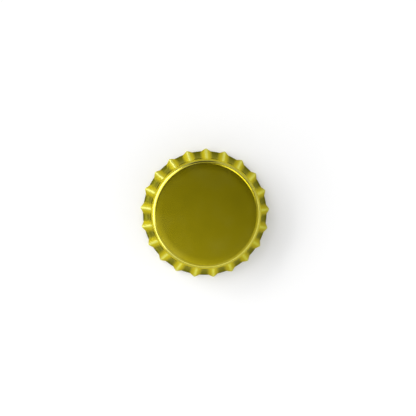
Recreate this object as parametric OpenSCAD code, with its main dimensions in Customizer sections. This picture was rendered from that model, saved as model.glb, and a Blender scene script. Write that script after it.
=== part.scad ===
// Crown cap for a bottle, before it is crimped: a stamped sheet shell with a fluted skirt,
// and the sealing liner that is moulded into its top.
// Z is up, the cut edge of the skirt lies on z = 0, and one tooth points along +Y.

/* [Top and shoulder] */
// Height from the cut edge to the top
cap_h = 6; // [5.6:0.1:6.6]
// Diameter across the shoulder, taken where its bend would stand upright
shoulder_d = 27.2; // [26.8:0.1:27.6]
// Outside radius of the shoulder bend
shoulder_r = 1.4; // [1.2:0.1:1.8]

/* [Sheet] */
// Thickness of the sheet
sheet_t = 0.24; // [0.2:0.01:0.28]

/* [Fluted skirt] */
// Number of flutes, and of the teeth between them
flutes = 21; // [20:1:22]
// Diameter across the tips of the teeth, at the cut edge
tip_d = 32.1; // [31.8:0.1:32.4]
// Depth of the flutes at the cut edge, from the tips of the teeth in to the floors
flute_depth = 0.65; // [0.5:0.05:0.8]
// Height of the plain wall between the shoulder bend and the crests of the teeth
crest_drop = 0.5; // [0.2:0.1:1.2]
// Height of the plain wall between the shoulder bend and the flare of the flute floors
floor_drop = 0.3; // [0.1:0.1:1.2]
// Radius along the crest of a tooth
crest_r = 0.4; // [0.35:0.05:0.5]
// Slope of a tooth's flanks, measured across its crest
flank_a = 30; // [26:1:34]

/* [Liner] */
// Thickness of the liner's web, under the top
web_t = 0.25; // [0.2:0.05:0.5]
// Height of the outer sealing ring, from the underside of the top
ring_h = 1.1; // [0.9:0.1:1.4]
// Width of the outer sealing ring
ring_w = 2.2; // [1.8:0.1:2.6]
// Diameter at the middle of the inner sealing lip
lip_d = 19.8; // [19:0.1:20.4]
// Width of the inner sealing lip
lip_w = 0.9; // [0.7:0.1:1.1]
// Height of the inner sealing lip, from the underside of the top
lip_h = 0.7; // [0.6:0.05:0.9]
// Gap between the liner's edge and the inside of the shoulder
liner_gap = 0.08; // [0.06:0.01:0.12]

/* [Hidden] */
$fn = 96;

// Lacquer and liner colours
lacquer = [0.72, 0.68, 0.10];
compound = [0.88, 0.88, 0.85];

// Centre of the shoulder bend in the radial section, and the wall that it turns down into
bend_x = shoulder_d / 2 - shoulder_r;
bend_z = cap_h - shoulder_r;
wall_x = shoulder_d / 2;

// Crest line of a tooth: a straight line from the wall out to the tip
crest_dx = tip_d / 2 - wall_x;
crest_z = bend_z - crest_drop;
crest_a = atan2(crest_dx, crest_z);
crest_l = norm([crest_dx, crest_z]);

// Flare of the floors: an arc that leaves the wall at a tangent and ends on the cut edge,
// in by flute_depth from the tips
floor_dx = crest_dx - flute_depth;
flare_z = bend_z - floor_drop;
flare_r = (floor_dx ^ 2 + flare_z ^ 2) / (2 * floor_dx);
flare_x = wall_x + flare_r;

// Half of the room that a tooth has at the cut edge
half_w = tip_d / 2 * sin(180 / flutes);

// How far the cup runs past the cut edge before it is cut off, and a tooth into the wall
below = (flare_r - flare_z) / 2;
bury = 1;

// Cup without its teeth, drawn in from its outline by inset and open downwards by drop
module drawn_cup(inset, drop) {
    rotate_extrude() {
        difference() {
            polygon([
                [0, -drop],
                [flare_x, -drop],
                [flare_x, flare_z],
                [wall_x - inset, flare_z],
                [wall_x - inset, bend_z],
                [bend_x, cap_h - inset],
                [0, cap_h - inset],
            ]);
            translate([flare_x, flare_z])
                circle(flare_r + inset);
        }
        translate([bend_x, bend_z])
            circle(shoulder_r - inset);
    }
}

// Section of a tooth across its crest: x points out of the crest, y along the cut edge
module tooth_section(inset) {
    round_r = crest_r - inset;
    brow = [round_r * cos(flank_a) - crest_r, round_r * sin(flank_a)];
    foot = [brow[0] - (half_w - brow[1]) * tan(flank_a), half_w];
    polygon([brow, foot, [foot[0], -foot[1]], [brow[0], -brow[1]]]);
    translate([-crest_r, 0])
        circle(round_r);
}

// One tooth: a ridge that runs down the crest line and on past the cut edge
module tooth(inset, drop) {
    past = (drop + bury) / cos(crest_a);
    translate([tip_d / 2, 0, 0])
        rotate([0, -crest_a, 0])
            translate([0, 0, -past])
                linear_extrude(past + crest_l + bury)
                    tooth_section(inset);
}

// The fluted cup, solid inside
module fluted_cup(inset, drop) {
    drawn_cup(inset, drop);
    for (k = [0:flutes - 1])
        rotate([0, 0, 90 + k * 360 / flutes])
            tooth(inset, drop);
}

// The stamped shell: an even sheet with its inside following its outside, cut off level
module crown_shell() {
    color(lacquer)
        difference() {
            fluted_cup(0, below);
            fluted_cup(sheet_t, 2 * below);
            translate([0, 0, -cap_h])
                cylinder(h = cap_h, d = 2 * tip_d);
        }
}

// A seal's ridge in section: flat against the web, round at its free edge
module seal_ridge(width, height, round_r) {
    translate([-width / 2, -height + round_r])
        square([width, height - round_r]);
    translate([-width / 2 + round_r, -height])
        square([width - 2 * round_r, round_r]);
    for (side = [-1, 1])
        translate([side * (width / 2 - round_r), -height + round_r])
            circle(round_r);
}

// The sealing liner: a thin web with an outer sealing ring and an inner lip
module sealing_liner() {
    under = cap_h - sheet_t;
    edge_r = shoulder_r - sheet_t;
    edge_x = bend_x - liner_gap;
    color(compound)
        rotate_extrude()
            intersection() {
                union() {
                    translate([0, under - web_t])
                        square([edge_x + edge_r, web_t]);
                    translate([edge_x + edge_r - ring_w / 2, under])
                        seal_ridge(ring_w, ring_h, ring_w / 4);
                    translate([lip_d / 2, under])
                        seal_ridge(lip_w, lip_h, lip_w / 3);
                }
                union() {
                    square([edge_x, cap_h - sheet_t]);
                    square([edge_x + edge_r, bend_z]);
                    translate([edge_x, bend_z])
                        circle(edge_r);
                }
            }
}

crown_shell();
sealing_liner();
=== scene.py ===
import math

import bpy
import numpy as np
from mathutils import Matrix, Vector


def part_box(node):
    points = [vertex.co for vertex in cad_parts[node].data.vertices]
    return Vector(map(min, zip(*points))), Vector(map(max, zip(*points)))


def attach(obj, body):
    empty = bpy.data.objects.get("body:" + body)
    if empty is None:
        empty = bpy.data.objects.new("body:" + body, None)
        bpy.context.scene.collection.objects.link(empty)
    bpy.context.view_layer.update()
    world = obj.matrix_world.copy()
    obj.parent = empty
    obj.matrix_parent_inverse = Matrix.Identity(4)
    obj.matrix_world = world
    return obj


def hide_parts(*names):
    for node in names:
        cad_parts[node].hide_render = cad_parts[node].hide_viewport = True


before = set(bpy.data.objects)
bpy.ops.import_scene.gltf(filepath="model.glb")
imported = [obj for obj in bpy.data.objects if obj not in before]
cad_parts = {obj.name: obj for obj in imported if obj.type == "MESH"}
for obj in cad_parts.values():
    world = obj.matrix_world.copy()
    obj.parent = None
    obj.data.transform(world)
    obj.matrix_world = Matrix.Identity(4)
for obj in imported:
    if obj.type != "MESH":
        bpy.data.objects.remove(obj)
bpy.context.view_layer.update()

# The stamped shell: one disc of tinplate, lacquered yellow gold while it is still flat, then pressed
# in one stroke into a flat top, a round shoulder and a skirt of 21 flutes that flare out to the edge.
# The sheet keeps its thickness everywhere, so the inside is the outside moved in by that much.
MM = 0.001  # in metres; the sizes that follow are in mm, and the angles in radians
shell_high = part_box("crown_shell")[1]
cap_h = shell_high[2] / MM  # from the cut edge to the top
tip_r = shell_high[1] / MM  # from the axis to the tip of a tooth, at the cut edge
sheet_t = 0.24  # thickness of the sheet
shoulder_r = 1.4  # outside radius of the shoulder bend
wall_x = 13.6  # from the axis to the plain wall under the bend
crest_drop = 0.5  # height of the plain wall above the crests
floor_drop = 0.3  # height of the plain wall above the flute floors
flutes = 21  # and as many teeth between them
flute_depth = 0.65  # from the tips in to the floors, at the cut edge
crest_r = 0.4  # radius along the crest of a tooth
flank_a = math.radians(30)  # slope of a tooth's flanks, measured across its crest
soft_crease = 0.05  # width over which the crease between a tooth and the cup is rounded

# In section: the shoulder bend, the crest line of a tooth and the flare of the flute floors
bend_x = wall_x - shoulder_r
bend_z = cap_h - shoulder_r
crest_z = bend_z - crest_drop
crest_a = math.atan2(tip_r - wall_x, crest_z)
flare_z = bend_z - floor_drop
floor_dx = tip_r - flute_depth - wall_x
flare_r = (floor_dx ** 2 + flare_z ** 2) / (2 * floor_dx)
flare_x = wall_x + flare_r
pitch = math.tau / flutes

# How far in from the outline the sheet is looked for, and how many times that reach is halved
search_from = -0.05
search_to = 1.6
halvings = 30

# Points across one flute and its tooth, and how much closer together they are at the crest
points_a_flute = 32
crest_crowding = 1.3
shell_sharp_a = math.radians(40)  # edges that turn by more than this stay sharp


def soft_max(a, b, width):
    """The larger of two distances, rounded over where they cross."""
    near = np.clip(width - np.abs(a - b), 0, None) / width
    return np.maximum(a, b) + near ** 2 * width / 4


def above_cup(r, z):
    """Distance out of the cup without its teeth: top, shoulder bend, wall and flaring floors."""
    dx, dz = r - bend_x, z - bend_z
    top_or_bend = np.where(dx < 0, z - cap_h, np.hypot(dx, dz) - shoulder_r)
    flare = flare_r - np.hypot(r - flare_x, z - flare_z)
    return np.where(dz > 0, top_or_bend, np.where(z > flare_z, r - wall_x, flare))


def above_tooth(r, angle, z):
    """Distance out of one tooth: two flat flanks and the rounded crest between them."""
    along, aside = r * np.cos(angle), np.abs(r * np.sin(angle))
    rise = (along - tip_r) * math.cos(crest_a) + z * math.sin(crest_a) + crest_r
    flank = rise * math.cos(flank_a) + aside * math.sin(flank_a)
    crest = np.hypot(rise, aside)
    return np.where(np.arctan2(aside, rise) < flank_a, crest, flank) - crest_r


def above_metal(r, angle, z):
    """Distance out of the fluted cup, with a tooth's crest where the angle is 0."""
    cup = above_cup(r, z)
    toothed = -soft_max(-cup, -above_tooth(r, angle, z), soft_crease)
    return np.where(z < bend_z, toothed, cup)


def outline(top_rows, bend_rows, skirt_rows):
    """Stations from near the axis down to the cut edge: radius, height, and tilt of the way in."""
    stations = [(bend_x * (i + 1) / (top_rows + 1), cap_h, math.pi / 2) for i in range(top_rows)]
    for tilt in np.linspace(math.pi / 2, 0, bend_rows, endpoint=False):
        stations.append((bend_x + shoulder_r * math.cos(tilt), bend_z + shoulder_r * math.sin(tilt), tilt))
    for z in np.linspace(bend_z, 0, skirt_rows):
        stations.append((max(wall_x, tip_r - z * math.tan(crest_a)), z, 0))
    return stations


def sheet_face(stations, angles, depth):
    """Points of one face of the sheet: in from each station, until depth below the outside."""
    r, z, tilt = (np.array(column)[:, None] for column in zip(*stations))
    near = np.full((len(stations), len(angles)), search_from)
    far = np.full(near.shape, search_to)
    for _ in range(halvings):
        middle = (near + far) / 2
        still_out = above_metal(r - middle * np.cos(tilt), angles, z - middle * np.sin(tilt)) > -depth
        near = np.where(still_out, middle, near)
        far = np.where(still_out, far, middle)
    return r - near * np.cos(tilt), z - near * np.sin(tilt)


def ring_mesh(name, rows, first, last, sharp_a):
    """A smooth mesh of closed rings of points, each joined to the next, with a point at either end."""
    columns = len(rows[0])
    verts = [first] + [point for row in rows for point in row] + [last]
    faces = []
    for c in range(columns):
        faces.append((0, 1 + c, 1 + (c + 1) % columns))
    for j in range(len(rows) - 1):
        here, there = 1 + j * columns, 1 + (j + 1) * columns
        for c in range(columns):
            d = (c + 1) % columns
            faces.append((here + c, there + c, there + d, here + d))
    here = 1 + (len(rows) - 1) * columns
    for c in range(columns):
        faces.append((here + c, len(verts) - 1, here + (c + 1) % columns))
    mesh = bpy.data.meshes.new(name)
    mesh.from_pydata(verts, [], faces)
    mesh.update()
    mesh.polygons.foreach_set("use_smooth", [True] * len(mesh.polygons))
    mesh.set_sharp_from_angle(angle=sharp_a)
    piece = bpy.data.objects.new(name, mesh)
    bpy.context.scene.collection.objects.link(piece)
    return piece


places = np.linspace(-1, 1, points_a_flute, endpoint=False)
angles = pitch / 2 * np.sign(places) * np.abs(places) ** crest_crowding
around = (math.pi / 2 + angles + np.arange(flutes)[:, None] * pitch).ravel()
outer_r, outer_z = sheet_face(outline(top_rows=8, bend_rows=16, skirt_rows=46), angles, 0)
inner_r, inner_z = sheet_face(outline(top_rows=3, bend_rows=8, skirt_rows=26), angles, sheet_t)


def all_round(r, z):
    """One row of a face, worked out for one tooth, as points in metres all the way round the cap."""
    r, z = np.tile(r, flutes) * MM, np.tile(z, flutes) * MM
    return [tuple(point) for point in np.stack([r * np.cos(around), r * np.sin(around), z], axis=1)]


outside = [all_round(r, z) for r, z in zip(outer_r, outer_z)]
inside = [all_round(r, z) for r, z in zip(inner_r, inner_z)][::-1]
crown_shell = ring_mesh("stamped_shell", outside + inside,
                        (0, 0, cap_h * MM), (0, 0, (cap_h - sheet_t) * MM), shell_sharp_a)

# Painted light on the outside, from 0 to 1: 0.5 on the top, paler round the shoulder as painted highlight,
# a little darker at its foot as painted shade, palest down the crests as painted highlight, darkest on the
# flute floors as painted shade
unpainted = 0.5
painted_depths = (0, 0.35, 0.7, 2.2)  # mm below the top, for the three rows of values that follow
# Painted light at those depths: along the crests, on the flanks and on the flute floors
crest_painted = (0.5, 0.78, 0.5, 1.0)
flank_painted = (0.5, 0.78, 0.4, 0.5)
floor_painted = (0.5, 0.78, 0.3, 0.0)
crest_highlight_band = 0.42  # half the width of the painted highlight along a crest
floor_from = 0.75  # from the crest, sideways, to where a flank begins to turn into a floor
floor_to = 1.75  # and to where it is all floor


def eased(value, start, end):
    """0 at start, 1 at end, and eased in between."""
    share = np.clip((value - start) / (end - start), 0, 1)
    return share * share * (3 - 2 * share)


aside = np.abs(outer_r * np.sin(angles))
crests, flanks, floors = (np.interp(cap_h - outer_z, painted_depths, values)
                          for values in (crest_painted, flank_painted, floor_painted))
painted_tone = flanks + (crests - flanks) * np.exp(-(aside / crest_highlight_band) ** 2)
painted_tone = painted_tone + (floors - flanks) * eased(aside, floor_from, floor_to)
painted_tone = np.tile(painted_tone, flutes).ravel()
# The painted highlight and shade go on the outside's points, and the rest keep the plain middle value
painted_light = np.full(len(crown_shell.data.vertices), unpainted)
painted_light[1:1 + len(painted_tone)] = painted_tone
crown_shell.data.attributes.new("painted_light", "FLOAT", "POINT").data.foreach_set("value", painted_light)


def new_material(name):
    """A material, its node tree and its shader."""
    material = bpy.data.materials.new(name)
    material.use_nodes = True
    return material, material.node_tree, material.node_tree.nodes["Principled BSDF"]


def fill(node, **settings):
    """Sets a node's inputs and other settings by name, and joins on the outputs of other nodes."""
    for key, value in settings.items():
        socket = node.inputs.get(key.replace("_", " "))
        if socket is None:
            setattr(node, key, value)
        elif isinstance(value, bpy.types.NodeSocket):
            node.id_data.links.new(value, socket)
        else:
            socket.default_value = value


def add(tree, kind, output, **settings):
    """Adds a node to a tree, fills it, and gives the named output."""
    node = tree.nodes.new(kind)
    fill(node, **settings)
    return node.outputs[output]


def maths(tree, operation, *values):
    """The result of a Math node on other nodes' outputs and plain numbers."""
    result = add(tree, "ShaderNodeMath", "Value", operation=operation)
    for socket, value in zip(result.node.inputs, values):
        if isinstance(value, bpy.types.NodeSocket):
            tree.links.new(value, socket)
        else:
            socket.default_value = value
    return result


def between(tree, share, low, high):
    """A value that goes from low to high as a share goes from 0 to 1."""
    return add(tree, "ShaderNodeMapRange", "Result", Value=share, To_Min=low, To_Max=high)


def toned(tree, share, tones):
    """The colour of a ramp at a share, from the ramp's places and colours."""
    colour = add(tree, "ShaderNodeValToRGB", "Color", Fac=share)
    stops = colour.node.color_ramp.elements
    while len(stops) < len(tones):
        stops.new(0.5)
    for stop, (place, tone) in zip(stops, tones):
        stop.position = place
        stop.color = (*tone, 1)
    return colour


def rolled_grain(tree, where, **settings):
    """The grain of rolled tinplate: streaks 0.25 mm wide and 17 mm long."""
    stretched = add(tree, "ShaderNodeMapping", "Vector", Vector=where, Scale=(60, 4000, 4000))
    return add(tree, "ShaderNodeTexNoise", "Fac", Vector=stretched, Scale=1, Detail=4, **settings)


# Gold lacquer: a clear yellow coat over bright tin, so the metal's rolled grain shows through it.
# Its colour is paler along the crests and round the shoulder as painted highlight, and darker in the
# flutes as painted shade.
# The middle colour is the lacquer's own. The darker one is painted shade for the flutes, and the paler one
# is painted highlight for the crests and shoulder
painted_shade_lacquer = (0.15, 0.142, 0.0015)
flat_lacquer = (0.5, 0.417, 0.0035)
painted_highlight_lacquer = (0.7, 0.69, 0.2)
gold_lacquer, tree, shader = new_material("gold_lacquer")
where = add(tree, "ShaderNodeTexCoord", "Object")
grain = rolled_grain(tree, where, Roughness=0.6)
cloud = add(tree, "ShaderNodeTexNoise", "Fac", Vector=where, Scale=160, Detail=3)  # 6 mm apart
peel = add(tree, "ShaderNodeTexNoise", "Fac", Vector=where, Scale=2600, Detail=2)  # 0.4 mm apart
# The painted highlight and shade, kept with the shell's points, then clouded a little at random
painted_share = add(tree, "ShaderNodeAttribute", "Fac", attribute_name="painted_light")
painted_and_clouded = maths(tree, "ADD", painted_share, between(tree, cloud, -0.08, 0.08))
rolled = add(tree, "ShaderNodeBump", "Normal", Height=grain, Strength=0.015, Distance=0.00002)
skin = add(tree, "ShaderNodeBump", "Normal", Height=peel, Normal=rolled, Strength=0.004, Distance=0.00003)
fill(shader,
     Metallic=1,
     Specular_Tint=(1, 0.95, 0.06, 1),
     Coat_Weight=0.15,
     Coat_Roughness=0.12,
     Base_Color=toned(tree, painted_and_clouded, [(0, painted_shade_lacquer), (0.5, flat_lacquer), (1, painted_highlight_lacquer)]),
     Roughness=between(tree, grain, 0.17, 0.23),
     Normal=skin)

# Varnished tin: the inside of the shell, tinplate under a clear varnish. The cut edge has it too,
# as the bare steel there is close to it in tone.
varnished_tin, tree, shader = new_material("varnished_tin")
where = add(tree, "ShaderNodeTexCoord", "Object")
grain = rolled_grain(tree, where)
fill(shader,
     Metallic=1,
     Base_Color=toned(tree, grain, [(0.3, (0.60, 0.58, 0.53)), (0.7, (0.68, 0.66, 0.61))]),
     Roughness=between(tree, grain, 0.25, 0.38))

# The faces of the outside come first in the mesh, then those of the cut edge and the inside
outside_faces = len(outside) * len(around)
for material in (gold_lacquer, varnished_tin):
    crown_shell.data.materials.append(material)
for face in crown_shell.data.polygons:
    face.material_index = 0 if face.index < outside_faces else 1
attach(crown_shell, "root")
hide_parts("crown_shell")

# The sealing liner: a disc of soft polymer, moulded straight into the inverted shell, where it sticks
# to the varnish. Its outer ring and inner lip press on the glass rim, with a thin web between them.
liner_low, liner_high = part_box("sealing_liner")
liner_r = liner_high[0] / MM  # from the axis to the liner's edge
ring_z = liner_low[2] / MM  # height of the outer ring's free edge
ring_w = 2.2  # width of the outer ring
lip_r = 9.9  # from the axis to the middle of the lip
lip_w = 0.9  # width of the lip
lip_h = 0.7  # height of the lip, from the underside of the top
web_t = 0.25  # thickness of the web
fillet_r = 0.15  # where the lip and the ring stand on the web

# In section: the shell's underside, the two ridges with their rounds, and the bend of the edge
under = cap_h - sheet_t
web_z = under - web_t
lip_z = under - lip_h
lip_in = lip_r - lip_w / 2
lip_out = lip_r + lip_w / 2
lip_round = lip_w / 3
ring_in = liner_r - ring_w
ring_round = ring_w / 4
edge_r = shoulder_r - sheet_t
edge_x = liner_r - edge_r

# Rows of points along the flat of the web, points all round in each row, and how close two places
# in the section may be before they become one
web_start_r = 1
web_rows = 8
points_a_row = 192
same_place = 0.001
liner_sharp_a = math.radians(50)


def arc(x, z, radius, start, end, steps=10):
    """Points along an arc in section, with its angles in degrees."""
    turns = np.radians(np.linspace(start, end, steps))
    return [(x + radius * math.cos(t), z + radius * math.sin(t)) for t in turns]


# Out along the web, round the lip and the ring, up the edge and back under the top
section = [(r, web_z) for r in np.linspace(web_start_r, lip_in - fillet_r, web_rows, endpoint=False)]
section += arc(lip_in - fillet_r, web_z - fillet_r, fillet_r, 90, 0, steps=5)
section += arc(lip_in + lip_round, lip_z + lip_round, lip_round, 180, 270)
section += arc(lip_out - lip_round, lip_z + lip_round, lip_round, 270, 360)
section += arc(lip_out + fillet_r, web_z - fillet_r, fillet_r, 180, 90, steps=5)
section += arc(ring_in - fillet_r, web_z - fillet_r, fillet_r, 90, 0, steps=5)
section += arc(ring_in + ring_round, ring_z + ring_round, ring_round, 180, 270)
outer_round = arc(liner_r - ring_round, ring_z + ring_round, ring_round, 270, 360, steps=16)
section += [(x, z) for x, z in outer_round if math.hypot(x - edge_x, z - bend_z) < edge_r]
edge = arc(edge_x, bend_z, edge_r, 0, 90, steps=24)
section += [(x, z) for x, z in edge if z > section[-1][1]]
section += [(edge_x * part, under) for part in (0.75, 0.5, 0.25)]
following = section[1:] + [(0, under)]
section = [here for here, there in zip(section, following) if math.dist(here, there) > same_place]

turns = np.linspace(0, math.tau, points_a_row, endpoint=False)
rows = [[(r * MM * math.cos(t), r * MM * math.sin(t), z * MM) for t in turns] for r, z in section[::-1]]
liner = ring_mesh("moulded_liner", rows, (0, 0, under * MM), (0, 0, web_z * MM), liner_sharp_a)

# Liner compound: pale and a little clouded, with faint marks of its flow and a fine, dull skin
liner_compound, tree, shader = new_material("liner_compound")
where = add(tree, "ShaderNodeTexCoord", "Object")
flow = add(tree, "ShaderNodeTexNoise", "Fac", Vector=where, Scale=220, Detail=3)  # 4.5 mm apart
fine = add(tree, "ShaderNodeTexNoise", "Fac", Vector=where, Scale=3000, Detail=2)  # 0.3 mm apart
skin = add(tree, "ShaderNodeBump", "Normal", Height=fine, Strength=0.1, Distance=0.00003)
fill(shader,
     Subsurface_Weight=0.25,
     Subsurface_Radius=(0.0006, 0.0005, 0.0004),
     Base_Color=toned(tree, flow, [(0.3, (0.74, 0.74, 0.69)), (0.7, (0.80, 0.80, 0.76))]),
     Roughness=between(tree, flow, 0.3, 0.45),
     Normal=skin)
liner.data.materials.append(liner_compound)
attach(liner, "root")
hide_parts("sealing_liner")

# The floor: a glazed white card that the cap stands on. It takes the cap's soft shadow and mirrors
# the light a little.
bpy.ops.mesh.primitive_plane_add(size=6)
floor = bpy.context.object
floor.name = "floor"
white_card, tree, shader = new_material("white_card")
fill(shader, Base_Color=(0.95, 0.95, 0.95, 1), Roughness=0.15, IOR=1.6)
floor.data.materials.append(white_card)

# The light: a dim studio with soft panels all round, of which a low bright one on the left does most
# of the work. Each is a patch of the sky, and where two overlap they add up. A panel's numbers are
# from and to degrees off upright, from and to degrees round, and its strength.
panels = [
    (58, 70, 120, 195, 7.0),
    (70, 80, 135, 225, 4.2),
    (32, 50, 120, 195, 1.4),
    (40, 50, 45, 165, 1.1),
    (18, 36, 15, 60, 3.4),
    (4, 12, 210, 300, 1.15),
    (0, 18, 75, 345, 0.22),
    (14, 40, 190, 360, 0.6),
    (56, 74, 210, 435, 1.1),
    (30, 80, 105, 375, 0.42),
    (81, 96, 0, 360, 0.75),
]
panel_edge = math.radians(3)  # width over which a panel's light falls off
world = bpy.data.worlds.new("studio")
world.use_nodes = True
bpy.context.scene.world = world
sky = world.node_tree


def off_by(angle, middle):
    """How far an angle is from a middle one, whichever way."""
    return maths(sky, "ABSOLUTE", maths(sky, "SUBTRACT", angle, middle))


def turned_by(angle, middle):
    """How far an angle round the cap is from a middle one, the short way."""
    turn = maths(sky, "WRAP", maths(sky, "SUBTRACT", angle, middle), math.pi, -math.pi)
    return maths(sky, "ABSOLUTE", turn)


def within(angle, half):
    """1 where an angle is under half and 0 where it is over, with a panel's soft edge between."""
    return add(sky, "ShaderNodeMapRange", "Result", interpolation_type="SMOOTHSTEP", Value=angle,
               From_Min=half + panel_edge / 2, From_Max=half - panel_edge / 2)


direction = add(sky, "ShaderNodeTexCoord", "Generated")
axes = add(sky, "ShaderNodeSeparateXYZ", "X", Vector=direction).node.outputs
off_upright = maths(sky, "ARCCOSINE", axes["Z"])
round_a = maths(sky, "ARCTAN2", axes["Y"], axes["X"])
light = 0.0
for high, low, start, end, strength in panels:
    middle, turn = math.radians((high + low) / 2), math.radians((start + end) / 2)
    patch = maths(sky, "MULTIPLY",
                  within(off_by(off_upright, middle), math.radians(low) - middle),
                  within(turned_by(round_a, turn), math.radians(end) - turn))
    light = maths(sky, "MULTIPLY_ADD", patch, strength, light)
fill(sky.nodes["Background"], Color=(1, 1, 1, 1), Strength=light)

# The camera: on a tripod nearly straight above the cap, with a long lens. The circle of the tooth
# tips comes out at a set radius in the square frame, and the shift puts the cap in its place there.
frame_px = 416
tip_circle_px = 64.6
shift_px = (3.07, 5.08)
sensor_w = 36
view_distance = 400
view_height_a = math.radians(84.9)
view_round_a = math.radians(146)
view_roll_a = math.radians(0.9)
eye = Vector((math.cos(view_round_a) * math.cos(view_height_a),
              math.sin(view_round_a) * math.cos(view_height_a),
              math.sin(view_height_a))) * view_distance * MM
lens_px = tip_circle_px / tip_r * view_distance
camera_data = bpy.data.cameras.new("camera")
camera_data.sensor_width = sensor_w
camera_data.lens = lens_px * sensor_w / frame_px
camera_data.shift_x = shift_px[0] / frame_px
camera_data.shift_y = shift_px[1] / frame_px
camera_data.clip_start = 0.01
camera = bpy.data.objects.new("camera", camera_data)
camera.location = eye
upright = eye.normalized()
across = Vector((0, 1, 0)).cross(upright).normalized()
up = upright.cross(across)
roll = Matrix.Rotation(view_roll_a, 3, upright)
camera.rotation_euler = (roll @ Matrix((across, up, upright)).transposed()).to_euler()
bpy.context.scene.collection.objects.link(camera)
bpy.context.scene.camera = camera
bpy.context.scene.view_settings.view_transform = "Standard"
